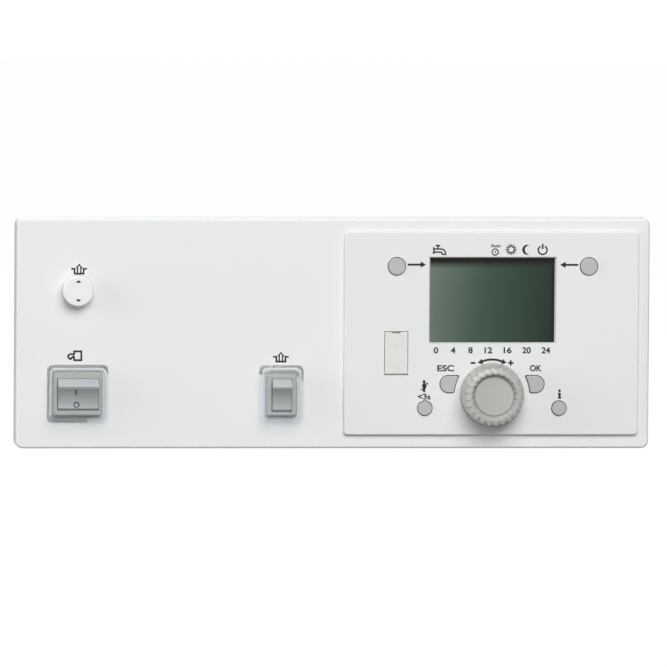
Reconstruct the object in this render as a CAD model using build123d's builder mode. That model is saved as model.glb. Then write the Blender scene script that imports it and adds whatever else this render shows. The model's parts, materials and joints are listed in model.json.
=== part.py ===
"""Control panel of a floor-standing condensing boiler.

All sizes are in millimetres. X runs to the right along the panel, Z runs up, and -Y points
out of the panel towards the person in front of it. The origin is the middle of the panel's
rear rim, where it seats on the boiler's casing. A "level" is a distance in front of that rim,
so a level of 14 lies at Y = -14.
"""

import os
from math import atan, cos, degrees, radians, sin, sqrt

from build123d import *

os.makedirs("parts", exist_ok=True)

# Panel moulding
panel_width = 310.0
panel_height = 112.4
panel_depth = 14.0
panel_wall = 2.5
panel_corner = 3.5
panel_edge = 1.2
fixing_boss_radius = 3.6
fixing_hole_radius = 1.5
fixing_hole_depth = 9.0
fixing_inset = 3.3
rib_thickness = 1.6
rib_height = 3.5
rib_count = 3

# Operating unit, its front frame and its rear housing
unit_width = 144.2
unit_end_margin = 5.4
unit_edge_margin = 6.45
unit_z = 0.3
unit_proud = 2.0
unit_corner = 2.0
unit_edge = 0.6
unit_plate = 2.4
unit_lip = 3.3
unit_wall = 2.0
unit_depth_to_split = 12.0
housing_depth = 14.0
housing_wall = 1.8
unit_fit = 0.3
corner_boss_radius = 3.0
corner_boss_inset = 3.2
housing_screw_length = 18.0

# Centre line of the window, keys and knob
layout_shift = 0.4
window_head = 12.4
window_foot = 44.4
window_width = 62.4
window_bevel = 0.7
window_bevel_depth = 1.9
glass_border = 2.6
glass_gap = 0.4
glass_thickness = 2.2
backlight_thickness = 3.0
strip_width = 1.8
holder_wall = 1.4
holder_fit = 0.2
holder_ledge = 3.0

# Circuit board behind the front plate
board_gap = 7.0
board_thickness = 1.6
board_margin = 1.7
board_notch = 7.0
post_radius = 2.5
post_inset_x = 5.3
post_inset_z = 19.45
board_screw_length = 6.0
board_hole_fit = 0.24
screw_radius = 1.2
screw_fit = 0.06
screw_head_radius = 2.3
screw_head_height = 1.4
screw_slot = 0.6

# Keys and the switches under them
upper_key_dx = 47.1
upper_key_head = 17.05
lower_key_dx = 32.9
lower_key_foot = 13.05
upper_key_hole = 4.56
lower_key_hole = 3.85
edge_key_hole = 4.45
edge_key_dx = 21.35
edge_key_rise = 5.2
edge_key_arc = 18.3
edge_key_corner = 0.8
key_gap = 0.4
key_proud = 1.0
key_edge = 0.35
key_travel = 0.7
key_collar_wall = 1.2
key_collar_depth = 1.4
key_flange = 0.8
key_play = 0.2
key_stem_radius = 2.0
tact_size = 6.0
tact_height = 3.0
tact_stroke_room = 0.2
plunger_radius = 1.7
plunger_proud = 0.8
plunger_play = 0.08

# Knob and the encoder it turns
knob_foot = 19.65
knob_gap = 0.5
knob_skirt_radius = 15.6
knob_skirt_height = 1.2
knob_height = 13.5
knob_shoulder_radius = 14.3
knob_rim_radius = 12.3
knob_shoulder_drop = 0.8
knob_shoulder_lean = 0.5
knob_ridge_start = 0.3
knob_well_radius = 11.6
knob_well_floor_radius = 9.7
knob_well_depth = 3.2
knob_teeth = 24
knob_tooth_depth = 1.1
knob_tooth_share = 0.22
knob_well_tooth_depth = 0.7
knob_floor_tooth_depth = 0.05
knob_waist_share = 0.7
knob_waist_turn = 0.55
knob_shoulder_turn = 0.85
knob_twist = 7.0
knob_wall = 2.0
knob_hub_radius = 5.2
knob_disc_thickness = 0.8
knob_disc_play = 0.2
shaft_radius = 3.0
shaft_flat = 1.5
shaft_fit = 0.05
shaft_edge = 0.3
shaft_length_in_knob = 7.2
bush_radius = 3.5
bush_proud = 1.5
bush_hole_fit = 0.3
bush_plate = 1.0
encoder_size = 12.0
encoder_corner = 1.0
encoder_height = 4.5
rotor_radius = 4.2
rotor_thickness = 1.6
rotor_room = 0.3

# Service flap and the socket behind it
flap_drop = 9.8
flap_opening_width = 11.7
flap_opening_height = 21.5
flap_thickness = 2.0
flap_gap = 0.28
flap_pin_radius = 0.5
flap_pin_length = 0.9
flap_pin_play = 0.05
flap_notch_width = 3.9
flap_notch_depth = 0.8
pocket_wall = 1.2
pocket_depth = 4.0
stop_width = 5.0
stop_depth = 1.0
socket_width = 8.4
socket_height = 16.0
socket_depth = 5.8
socket_wall = 1.4
socket_floor = 1.4

# Parts on the rear of the circuit board
header_x = -30.0
header_z = -22.0
header_width = 26.0
header_height = 9.0
header_depth = 12.0
header_wall = 1.5
header_pin = 0.8
header_pin_pitch = 3.5
header_pins = 6
header_opening_fit = 0.6
chip_size = 10.0
chip_rise = 8.2
chip_thickness = 1.4
driver_width = 6.0
driver_height = 9.0
capacitor_radius = 4.0
capacitor_edge = 0.5
capacitor_height = 8.5
capacitor_pitch = 11.0
vent_length = 30.0
vent_width = 2.4
vent_corner = 1.14
vent_pitch = 6.0
vent_count = 6

# Clamps that draw the unit against the panel
clamp_spacing = 84.0
clamp_width = 10.0
clamp_thickness = 4.6
clamp_height = 5.0
clamp_gap = 3.5
tongue_width = 6.0
tongue_height = 2.0
tongue_play = 0.15
clamp_screw_tail = 1.2

# Both rocker switches
rocker_pivot_proud = 1.0
rocker_gap = 0.25
rocker_side_gap = 0.35
rocker_half_angle = 43.0
rocker_tilt = 13.0
rocker_back_angle = 100.0
rocker_hollow = 1.2
rocker_lug_radius = 1.5
rocker_lug_play = 0.05
rocker_lug_length = 0.65
rocker_post_radius = 2.2
rocker_post_length = 3.2
bezel_base = 1.6
bezel_slope_height = 1.6
bezel_slope_width = 0.8
bezel_corner = 1.2
bezel_overhang = 0.8
opening_corner = 0.8
boot_flange = 1.0
boot_wall = 0.9
boot_skin = 0.5
boot_height = 9.5
boot_corner = 2.6
boot_edge = 1.4
boot_fit = 0.15
switch_depth = 23.0
switch_base = 2.0
switch_fit = 0.1
snap_width = 6.0
snap_height = 5.0
snap_proud = 0.7
snap_chamfer = 0.63
spring_seat_depth = 1.4
spring_seat_height = 1.0
switch_plunger_radius = 1.0
switch_plunger_tip = 0.7
switch_plunger_reach = 10.45
switch_spring_radius = 1.35
switch_spring_wire = 0.35
switch_spring_turns = 6
contact_level = 4.0
contact_arm_reach = 6.0
contact_arm_width = 3.5
contact_arm_thickness = 0.8
contact_arm_tilt = 8.0
contact_lug_radius = 0.4
contact_lug_length = 0.8
contact_gap = 0.15
contact_rivet_radius = 1.2
contact_rivet_height = 0.35
contact_rivet_inset = 1.4
blade_width = 6.3
blade_thickness = 0.8
blade_length = 8.0
blade_spacing = 5.5

# Main switch
main_end_margin = 30.2
main_z = -29.4
main_bezel_width = 23.9
main_bezel_height = 21.2
main_opening_width = 20.5
main_opening_height = 15.6
main_boot_margin_x = 3.0
main_boot_margin_z = 3.55
main_dome_margin_x = 1.8
main_dome_margin_z = 2.15
main_pole_spacing = 10.0

# Test switch
test_unit_gap = 30.6
test_z = -29.8
test_bezel_width = 14.8
test_bezel_height = 20.8
test_opening_width = 10.1
test_opening_height = 16.2
test_boot_margin_x = 3.45
test_boot_margin_z = 3.9
test_dome_margin_x = 2.0
test_dome_margin_z = 2.8

# Safety limiter
limiter_end_margin = 29.9
limiter_z = 21.1
limiter_width = 36.0
limiter_height = 30.0
limiter_depth = 23.0
limiter_corner = 1.5
limiter_bush_radius = 5.0
limiter_bush_bore = 2.15
limiter_bush_proud = 3.6
limiter_hole_fit = 0.2
nut_radius = 6.2
nut_thickness = 1.8
nut_slot = 1.6
cap_radius = 7.55
cap_proud = 5.9
cap_face = 1.4
cap_edge = 0.9
cap_gap = 0.3
cap_thread_fit = 0.1
cap_nut_clearance = 0.4
cap_moon_radius = 1.15
cap_moon_offset = 4.0
cap_moon_depth = 0.9
seal_thickness = 0.3
seal_width = 0.7
reset_pin_radius = 2.0
reset_pin_proud = 0.5
reset_travel = 1.5
reset_collar_radius = 3.4
reset_collar_thickness = 1.6
reset_stem_radius = 1.2
reset_stem_length = 6.0
reset_chamber_radius = 4.0
reset_chamber_depth = 13.0
reset_chamber_roof = 2.5
reset_spring_radius = 2.4
reset_spring_wire = 0.5
reset_spring_turns = 6
reset_play = 0.05
reset_pin_edge = 0.5
gland_radius = 3.0
gland_length = 6.0
gland_bore = 0.9
tab_width = 6.3
tab_thickness = 0.8
tab_length = 8.0
tab_pitch = 10.0

# Levels and sizes that follow from the values above
face = panel_depth
panel_back = face - panel_wall
inner_width = panel_width - 2 * panel_wall
inner_height = panel_height - 2 * panel_wall
fixing_dx = inner_width / 2 - fixing_inset
fixing_dz = inner_height / 2 - fixing_inset
panel_left = -panel_width / 2

unit_height = panel_height - 2 * unit_edge_margin
unit_x = panel_width / 2 - unit_end_margin - unit_width / 2
unit_at = (unit_x, unit_z)
unit_face = face + unit_proud
plate_back = unit_face - unit_plate
split = face - unit_depth_to_split
skirt_width = unit_width - 2 * unit_lip
skirt_height = unit_height - 2 * unit_lip
well_width = skirt_width - 2 * unit_wall
well_height = skirt_height - 2 * unit_wall
housing_back = split - housing_depth
corner_boss_dx = well_width / 2 - corner_boss_inset
corner_boss_dz = well_height / 2 - corner_boss_inset

board_front = plate_back - board_gap
board_back = board_front - board_thickness
board_width = well_width - 2 * board_margin
board_height = well_height - 2 * board_margin

centre_x = unit_x + layout_shift
window_height = unit_height - window_head - window_foot
window_rise = (window_foot - window_head) / 2
window_at = (centre_x, unit_z + window_rise)
post_spacing_x = well_width - 2 * post_inset_x
post_spacing_z = well_height - 2 * post_inset_z
glass_front = plate_back - glass_gap
glass_back = glass_front - glass_thickness
glass_width = window_width + 2 * glass_border - 2 * window_bevel
glass_height = window_height + 2 * glass_border - 2 * window_bevel
backlight_back = glass_back - backlight_thickness

knob_at = (centre_x, unit_z - unit_height / 2 + knob_foot)
knob_back = unit_face + knob_gap
knob_front = knob_back + knob_height
bush_front = unit_face + bush_proud
shaft_front = bush_front + knob_gap + shaft_length_in_knob

tact_front = board_front + tact_height
plunger_front = tact_front + plunger_proud
collar_back = plate_back - key_collar_depth
flange_front = collar_back - key_play
flange_back = flange_front - key_flange
key_face = unit_face + key_proud

upper_key_z = unit_z + unit_height / 2 - upper_key_head
lower_key_z = unit_z - unit_height / 2 + lower_key_foot
keys = {
    "hot_water": (centre_x - upper_key_dx, upper_key_z, upper_key_hole, 0),
    "heating": (centre_x + upper_key_dx, upper_key_z, upper_key_hole, 0),
    "sweep": (centre_x - lower_key_dx, lower_key_z, lower_key_hole, 0),
    "info": (centre_x + lower_key_dx, lower_key_z, lower_key_hole, 0),
    "escape": (centre_x - edge_key_dx, knob_at[1] + edge_key_rise, edge_key_hole, -1),
    "accept": (centre_x + edge_key_dx, knob_at[1] + edge_key_rise, edge_key_hole, 1),
}
key_places = [(x, z) for x, z, radius, side in keys.values()]

flap_at = (centre_x - upper_key_dx, unit_z - flap_drop)
flap_width = flap_opening_width - 2 * flap_gap
flap_round = flap_thickness / 2
flap_axis_level = unit_face - flap_round
flap_axis_z = flap_at[1] - flap_opening_height / 2 + flap_gap + flap_round
flap_top = flap_at[1] + flap_opening_height / 2 - flap_gap

limiter_x = panel_left + limiter_end_margin
limiter_at = (limiter_x, limiter_z)
limiter_front = panel_back
limiter_back = limiter_front - limiter_depth
limiter_bush_front = face + limiter_bush_proud


def save(piece, name):
    """Labels a finished piece and writes it to its own file."""
    piece.label = name
    export_step(piece, f"parts/{name}.step")


def slab(low, high, width, height, corner, *at, mode=Mode.ADD):
    """Adds or cuts a round-cornered slab between two levels, at each place given."""
    with BuildSketch(Plane.XZ.offset(low)) as outline:
        with Locations(*at):
            RectangleRounded(width, height, corner)
    extrude(outline.sketch, amount=high - low, mode=mode)


def block(low, high, width, height, *at, mode=Mode.ADD):
    """Adds or cuts a square-cornered slab between two levels, at each place given."""
    with BuildSketch(Plane.XZ.offset(low)) as outline:
        with Locations(*at):
            Rectangle(width, height)
    extrude(outline.sketch, amount=high - low, mode=mode)


def disc(low, high, radius, *at, mode=Mode.ADD):
    """Adds or cuts a cylinder between two levels, at each place given."""
    with BuildSketch(Plane.XZ.offset(low)) as outline:
        with Locations(*at):
            Circle(radius)
    extrude(outline.sketch, amount=high - low, mode=mode)


def cross_pin(start_x, end_x, level, z, radius, mode=Mode.ADD):
    """Adds or cuts a cylinder that lies along X."""
    with BuildSketch(Plane.YZ.offset(start_x)) as outline:
        with Locations((-level, z)):
            Circle(radius)
    extrude(outline.sketch, amount=end_x - start_x, mode=mode)


def grid(at, spacing_x, spacing_z, count_x, count_z):
    """Returns the places of a rectangular grid about a point."""
    x, z = at
    return [
        (x + (i - (count_x - 1) / 2) * spacing_x, z + (j - (count_z - 1) / 2) * spacing_z)
        for i in range(count_x)
        for j in range(count_z)
    ]


def edges_at(level):
    """Returns the edges of the part under construction that lie in one level."""
    return edges().filter_by_position(Axis.Y, -level - 0.001, -level + 0.001)


def key_outline(key, level, grow):
    """Returns a key's outline, grown by a clearance. A side of 0 is round, else D-shaped."""
    x, z, radius, side = key
    with BuildSketch(Plane.XZ.offset(level)) as outline:
        with Locations((x, z)):
            Circle(radius + grow)
        if side:
            with Locations((x - side * radius, z)):
                Rectangle(2 * radius, 2 * (radius + grow))
            with Locations(knob_at):
                Circle(edge_key_arc - grow, mode=Mode.SUBTRACT)
            toward_knob = outline.vertices().sort_by(Axis.X, reverse=side < 0)[:2]
            fillet(toward_knob, edge_key_corner)
    return outline.sketch


def coil(centre, direction, radius, wire, turns, length):
    """Adds a coil spring that starts at a point and runs along a direction."""
    with BuildLine() as path:
        Helix(length / turns, length, radius, center=centre, direction=direction)
    with BuildSketch(Plane(path.line @ 0, z_dir=path.line % 0)) as section:
        Circle(wire / 2)
    sweep(section.sketch, path=path.line)


def fillet_front(level, radius):
    """Rounds the front edges of the part under construction."""
    fillet(edges_at(level), radius)


class SwitchSizes:
    """The outline sizes of one rocker switch, worked out from its opening and bezel."""

    def __init__(self, x, z, bezel, opening, boot_margin, dome_margin, poles):
        self.x = x
        self.z = z
        self.bezel_width, self.bezel_height = bezel
        self.opening_width, self.opening_height = opening
        self.boot_width = self.bezel_width + 2 * boot_margin[0]
        self.boot_depth = self.bezel_height + 2 * boot_margin[1]
        self.dome_width = self.bezel_width + 2 * dome_margin[0]
        self.dome_depth = self.bezel_height + 2 * dome_margin[1]
        self.body_width = self.bezel_width - 2 * bezel_overhang
        self.body_height = self.bezel_height - 2 * bezel_overhang
        self.poles = [(x + offset, z) for offset in poles]
        lip_rise = bezel_top - rocker_pivot_level
        self.cavity_radius = sqrt((self.opening_height / 2) ** 2 + lip_rise**2)
        self.rocker_radius = self.cavity_radius - rocker_gap
        self.rocker_width = self.opening_width - 2 * rocker_side_gap


bezel_back = face + boot_flange
bezel_slope_level = bezel_back + bezel_base
bezel_top = bezel_slope_level + bezel_slope_height
rocker_pivot_level = face + rocker_pivot_proud
boot_top = face + boot_height
spring_bore_radius = switch_spring_radius + switch_spring_wire / 2 + rocker_lug_play
switch_back = face - switch_depth
base_front = switch_back + switch_base

main_x = panel_left + main_end_margin
main_switch = SwitchSizes(
    main_x,
    main_z,
    (main_bezel_width, main_bezel_height),
    (main_opening_width, main_opening_height),
    (main_boot_margin_x, main_boot_margin_z),
    (main_dome_margin_x, main_dome_margin_z),
    (-main_pole_spacing / 2, main_pole_spacing / 2),
)
test_x = unit_x - unit_width / 2 - test_unit_gap
test_switch = SwitchSizes(
    test_x,
    test_z,
    (test_bezel_width, test_bezel_height),
    (test_opening_width, test_opening_height),
    (test_boot_margin_x, test_boot_margin_z),
    (test_dome_margin_x, test_dome_margin_z),
    (0,),
)

# Panel moulding: an open-backed tray with corner bosses, stiffening ribs and cut-outs
rib_room_left = limiter_x + limiter_width / 2
rib_room_right = test_x - test_switch.body_width / 2
rib_pitch = (rib_room_right - rib_room_left) / (rib_count + 1)
rib_middle_x = (rib_room_left + rib_room_right) / 2
with BuildPart() as fascia_panel:
    slab(0, face, panel_width, panel_height, panel_corner, (0, 0))
    fillet_front(face, panel_edge)
    inner_corner = panel_corner - panel_wall
    slab(0, panel_back, inner_width, inner_height, inner_corner, (0, 0), mode=Mode.SUBTRACT)
    bosses = grid((0, 0), 2 * fixing_dx, 2 * fixing_dz, 2, 2)
    disc(0, panel_back, fixing_boss_radius, *bosses)
    ribs = grid((rib_middle_x, 0), rib_pitch, 0, rib_count, 1)
    block(panel_back - rib_height, panel_back, rib_thickness, inner_height, *ribs)
    disc(0, fixing_hole_depth, fixing_hole_radius, *bosses, mode=Mode.SUBTRACT)
    opening_width = skirt_width + 2 * unit_fit
    opening_height = skirt_height + 2 * unit_fit
    slab(0, face, opening_width, opening_height, unit_corner, unit_at, mode=Mode.SUBTRACT)
    for switch in (main_switch, test_switch):
        cut_width = switch.body_width + 2 * switch_fit
        cut_height = switch.body_height + 2 * switch_fit
        block(0, face, cut_width, cut_height, (switch.x, switch.z), mode=Mode.SUBTRACT)
    disc(0, face, limiter_bush_radius + limiter_hole_fit, limiter_at, mode=Mode.SUBTRACT)
save(fascia_panel.part, "fascia_panel")

# Front frame of the operating unit, with its skirt, window, key holes and flap opening
with BuildPart() as operator_frame:
    slab(face, unit_face, unit_width, unit_height, unit_corner, unit_at)
    fillet_front(unit_face, unit_edge)
    slab(split, face, skirt_width, skirt_height, unit_corner - unit_fit, unit_at)
    block(split, plate_back, well_width, well_height, unit_at, mode=Mode.SUBTRACT)
    corner_bosses = grid(unit_at, 2 * corner_boss_dx, 2 * corner_boss_dz, 2, 2)
    disc(split, plate_back, corner_boss_radius, *corner_bosses)
    pilot_front = housing_back + housing_screw_length + screw_fit
    pilot_radius = screw_radius + screw_fit
    disc(split, pilot_front, pilot_radius, *corner_bosses, mode=Mode.SUBTRACT)
    posts = grid(unit_at, post_spacing_x, post_spacing_z, 2, 2)
    disc(board_front, plate_back, post_radius, *posts)
    post_pilot_front = board_back + board_screw_length + screw_fit
    disc(board_front, post_pilot_front, pilot_radius, *posts, mode=Mode.SUBTRACT)

    with BuildSketch(Plane.XZ.offset(unit_face)) as window_outline:
        with Locations(window_at):
            Rectangle(window_width, window_height)
    bevel_angle = degrees(atan(window_bevel / window_bevel_depth))
    extrude(
        window_outline.sketch, amount=-window_bevel_depth, taper=bevel_angle, mode=Mode.SUBTRACT
    )
    sight_width = window_width - 2 * window_bevel
    sight_height = window_height - 2 * window_bevel
    block(plate_back, unit_face, sight_width, sight_height, window_at, mode=Mode.SUBTRACT)

    for key in keys.values():
        extrude(key_outline(key, collar_back, key_collar_wall), amount=key_collar_depth)
    for key in keys.values():
        hole_depth = unit_face - collar_back
        extrude(key_outline(key, collar_back, 0), amount=hole_depth, mode=Mode.SUBTRACT)
    disc(plate_back, unit_face, bush_radius + bush_hole_fit, knob_at, mode=Mode.SUBTRACT)

    pocket_width = flap_opening_width + 2 * pocket_wall
    pocket_height = flap_opening_height + 2 * pocket_wall
    pocket_back = plate_back - pocket_depth
    block(pocket_back, plate_back, pocket_width, pocket_height, flap_at)
    block(
        pocket_back,
        unit_face,
        flap_opening_width,
        flap_opening_height,
        flap_at,
        mode=Mode.SUBTRACT,
    )
    stop_front = unit_face - flap_thickness - flap_pin_play
    stop_z = flap_at[1] + flap_opening_height / 2 - stop_depth / 2
    block(pocket_back, stop_front, stop_width, stop_depth, (flap_at[0], stop_z))
    pin_reach = flap_opening_width / 2 + flap_pin_length - flap_gap + flap_pin_play
    cross_pin(
        flap_at[0] - pin_reach,
        flap_at[0] + pin_reach,
        flap_axis_level,
        flap_axis_z,
        flap_pin_radius + flap_pin_play,
        mode=Mode.SUBTRACT,
    )

    clamp_at_top = (unit_x, unit_z + skirt_height / 2)
    clamp_at_bottom = (unit_x, unit_z - skirt_height / 2)
    tongue_level = panel_back - clamp_gap - clamp_height / 2
    for clamp_at in (clamp_at_top, clamp_at_bottom):
        block(
            tongue_level - tongue_height / 2 - tongue_play,
            tongue_level + tongue_height / 2 + tongue_play,
            tongue_width + 2 * tongue_play,
            2 * unit_wall,
            *grid(clamp_at, clamp_spacing, 0, 2, 1),
            mode=Mode.SUBTRACT,
        )
save(operator_frame.part, "operator_frame")

# Rear housing with vents, a header opening and four screw pillars
header_at = (unit_x + header_x, unit_z + header_z)
with BuildPart() as rear_housing:
    slab(housing_back, split, skirt_width, skirt_height, unit_corner - unit_fit, unit_at)
    floor_front = housing_back + housing_wall
    hollow_width = skirt_width - 2 * housing_wall
    hollow_height = skirt_height - 2 * housing_wall
    block(floor_front, split, hollow_width, hollow_height, unit_at, mode=Mode.SUBTRACT)
    disc(floor_front, split, corner_boss_radius, *corner_bosses)
    disc(housing_back, split, pilot_radius, *corner_bosses, mode=Mode.SUBTRACT)
    header_cut_width = header_width + 2 * header_opening_fit
    header_cut_height = header_height + 2 * header_opening_fit
    block(
        housing_back, floor_front, header_cut_width, header_cut_height, header_at, mode=Mode.SUBTRACT
    )
    vents = grid((unit_x, unit_z + window_rise), 0, vent_pitch, 1, vent_count)
    slab(
        housing_back,
        floor_front,
        vent_length,
        vent_width,
        vent_corner,
        *vents,
        mode=Mode.SUBTRACT,
    )
save(rear_housing.part, "rear_housing")


def slotted_screw(low, high, head_low, *at):
    """Adds screws whose shank runs between two levels and whose head points to the rear."""
    disc(low, high, screw_radius, *at)
    disc(head_low, low, screw_head_radius, *at)
    slot_depth = (low - head_low) / 2
    slot_length = 2 * screw_head_radius
    block(head_low, head_low + slot_depth, slot_length, screw_slot, *at, mode=Mode.SUBTRACT)


with BuildPart() as housing_screws:
    head_back = housing_back - screw_head_height
    slotted_screw(housing_back, housing_back + housing_screw_length, head_back, *corner_bosses)
save(housing_screws.part, "housing_screws")

# Circuit board, its screws and what is soldered to it
with BuildPart() as circuit_board:
    block(board_back, board_front, board_width, board_height, unit_at)
    notch_dx = board_width - board_notch
    notch_dz = board_height - board_notch
    notches = grid(unit_at, notch_dx, notch_dz, 2, 2)
    block(board_back, board_front, board_notch, board_notch, *notches, mode=Mode.SUBTRACT)
    disc(board_back, board_front, screw_radius + board_hole_fit, *posts, mode=Mode.SUBTRACT)
save(circuit_board.part, "circuit_board")

with BuildPart() as board_screws:
    head_back = board_back - screw_head_height
    slotted_screw(board_back, board_back + board_screw_length, head_back, *posts)
save(board_screws.part, "board_screws")

with BuildPart() as board_chips:
    chip_back = board_back - chip_thickness
    chip_at = (centre_x, unit_z + chip_rise)
    block(chip_back, board_back, chip_size, chip_size, chip_at)
    driver_at = (centre_x + 2 * chip_size, chip_at[1])
    block(chip_back, board_back, driver_width, driver_height, driver_at)
save(board_chips.part, "board_chips")

with BuildPart() as capacitors:
    can_at = (centre_x + lower_key_dx, (unit_z + lower_key_z) / 2)
    cans = grid(can_at, capacitor_pitch, 0, 2, 1)
    can_back = board_back - capacitor_height
    disc(can_back, board_back, capacitor_radius, *cans)
    fillet(edges_at(can_back), capacitor_edge)
save(capacitors.part, "capacitors")

with BuildPart() as bus_header:
    header_back = board_back - header_depth
    header_floor = board_back - header_wall
    block(header_back, board_back, header_width, header_height, header_at)
    socket_w = header_width - 2 * header_wall
    socket_h = header_height - 2 * header_wall
    block(header_back, header_floor, socket_w, socket_h, header_at, mode=Mode.SUBTRACT)
save(bus_header.part, "bus_header")

with BuildPart() as header_blades:
    pins = grid(header_at, header_pin_pitch, 0, header_pins, 1)
    pin_back = header_floor - header_wall
    block(pin_back, header_floor, header_pin, header_pin, *pins)
save(header_blades.part, "header_pins")

with BuildPart() as service_socket:
    socket_front = board_front + socket_depth
    block(board_front, socket_front, socket_width, socket_height, flap_at)
    block(
        board_front + socket_floor,
        socket_front,
        socket_width - 2 * socket_wall,
        socket_height - 2 * socket_wall,
        flap_at,
        mode=Mode.SUBTRACT,
    )
save(service_socket.part, "service_socket")

with BuildPart() as key_switches:
    block(board_front, tact_front, tact_size, tact_size, *key_places)
    well_floor = tact_front - plunger_proud - key_travel - tact_stroke_room
    disc(well_floor, tact_front, plunger_radius + plunger_play, *key_places, mode=Mode.SUBTRACT)
save(key_switches.part, "key_switches")

# Display: cell, light plate behind it, contact strips above and below, and their holder
with BuildPart() as display_cell:
    block(glass_back, glass_front, glass_width, glass_height, window_at)
save(display_cell.part, "display_cell")

light_height = glass_height - 4 * strip_width
with BuildPart() as backlight_plate:
    block(backlight_back, glass_back, glass_width - strip_width, light_height, window_at)
save(backlight_plate.part, "backlight_plate")

with BuildPart() as contact_strips:
    strips = grid(window_at, 0, glass_height - 2 * strip_width, 1, 2)
    block(board_front, glass_back, glass_width - 2 * holder_ledge, strip_width, *strips)
save(contact_strips.part, "contact_strips")

with BuildPart() as display_holder:
    holder_inner_width = glass_width + 2 * holder_fit
    holder_inner_height = glass_height + 2 * holder_fit
    holder_width = holder_inner_width + 2 * holder_wall
    holder_height = holder_inner_height + 2 * holder_wall
    slab(board_front, glass_front, holder_width, holder_height, holder_wall, window_at)
    block(
        backlight_back,
        glass_front,
        holder_inner_width,
        holder_inner_height,
        window_at,
        mode=Mode.SUBTRACT,
    )
    ledge_width = holder_inner_width - 2 * holder_ledge
    block(
        board_front,
        backlight_back,
        ledge_width,
        holder_inner_height,
        window_at,
        mode=Mode.SUBTRACT,
    )
save(display_holder.part, "display_holder")

# Clamps: a block hooked into the skirt, and a screw that bears on the back of the panel
clamp_back = panel_back - clamp_gap - clamp_height
clamp_front = panel_back - clamp_gap
clamp_points = []
with BuildPart() as panel_clamps:
    for side in (-1, 1):
        skirt_edge = unit_z + side * skirt_height / 2
        body_z = skirt_edge + side * clamp_thickness / 2
        tongue_z = skirt_edge - side * (unit_wall - tongue_play) / 2
        screw_z = skirt_edge + side * clamp_thickness / 2
        clamp_places = grid((unit_x, body_z), clamp_spacing, 0, 2, 1)
        tongue_places = grid((unit_x, tongue_z), clamp_spacing, 0, 2, 1)
        clamp_points += grid((unit_x, screw_z), clamp_spacing, 0, 2, 1)
        block(clamp_back, clamp_front, clamp_width, clamp_thickness, *clamp_places)
        block(
            tongue_level - tongue_height / 2,
            tongue_level + tongue_height / 2,
            tongue_width,
            unit_wall - tongue_play,
            *tongue_places,
        )
    disc(clamp_back, clamp_front, pilot_radius, *clamp_points, mode=Mode.SUBTRACT)
save(panel_clamps.part, "panel_clamps")

with BuildPart() as clamp_screws:
    tail = clamp_back - clamp_screw_tail
    disc(tail, panel_back, screw_radius, *clamp_points)
    disc(tail - screw_head_height, tail, screw_head_radius - screw_slot, *clamp_points)
save(clamp_screws.part, "clamp_screws")

# Keys: a cap held behind the plate by its flange, and the switch plunger that its stem meets
for name, key in keys.items():
    x, z, radius, side = key
    with BuildPart() as key_cap:
        cap_depth = key_face - flange_front
        extrude(key_outline(key, flange_front, -key_gap), amount=cap_depth)
        fillet_front(key_face, key_edge)
        flange_grow = key_collar_wall - key_play
        extrude(key_outline(key, flange_back, flange_grow), amount=key_flange)
        disc(plunger_front, flange_back, key_stem_radius, (x, z))
    save(key_cap.part, f"{name}_key")

    with BuildPart() as plunger:
        disc(well_floor + key_travel + tact_stroke_room / 2, plunger_front, plunger_radius, (x, z))
    save(plunger.part, f"{name}_plunger")

# Encoder: base on the board, bush and plate, and a shaft that carries the contact rotor
with BuildPart() as encoder_base:
    encoder_front = board_front + encoder_height
    slab(board_front, encoder_front, encoder_size, encoder_size, encoder_corner, knob_at)
    rotor_floor = encoder_front - rotor_thickness - 2 * rotor_room
    rotor_well = rotor_radius + rotor_room
    disc(rotor_floor, encoder_front, rotor_well, knob_at, mode=Mode.SUBTRACT)
save(encoder_base.part, "encoder_base")

with BuildPart() as encoder_bush:
    bush_back = encoder_front + bush_plate
    slab(encoder_front, bush_back, encoder_size, encoder_size, encoder_corner, knob_at)
    disc(bush_back, bush_front, bush_radius, knob_at)
    disc(encoder_front, bush_front, shaft_radius + shaft_fit, knob_at, mode=Mode.SUBTRACT)
save(encoder_bush.part, "encoder_bush")

flat_top = knob_at[1] + shaft_radius - shaft_flat
with BuildPart() as encoder_shaft:
    rotor_back = rotor_floor + rotor_room
    disc(rotor_back, rotor_back + rotor_thickness, rotor_radius, knob_at)
    disc(rotor_back, shaft_front, shaft_radius, knob_at)
    fillet_front(shaft_front, shaft_edge)
    flat_from = bush_front + knob_gap
    flat_at = (centre_x, flat_top + shaft_flat / 2)
    block(flat_from, shaft_front, 2 * shaft_radius, shaft_flat, flat_at, mode=Mode.SUBTRACT)
save(encoder_shaft.part, "encoder_shaft")


def toothed_ring(level, crest, root, turn):
    """Returns a saw-toothed outline about the knob's axis, turned by an angle."""
    pitch = 360 / knob_teeth
    points = []
    for tooth in range(knob_teeth):
        for share, radius in ((0, crest), (knob_tooth_share, root)):
            angle = radians(turn + (tooth + share) * pitch)
            points.append((centre_x + radius * cos(angle), knob_at[1] + radius * sin(angle)))
    with BuildSketch(Plane.XZ.offset(level)) as outline:
        Polygon(*points, align=None)
    return outline.sketch


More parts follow.
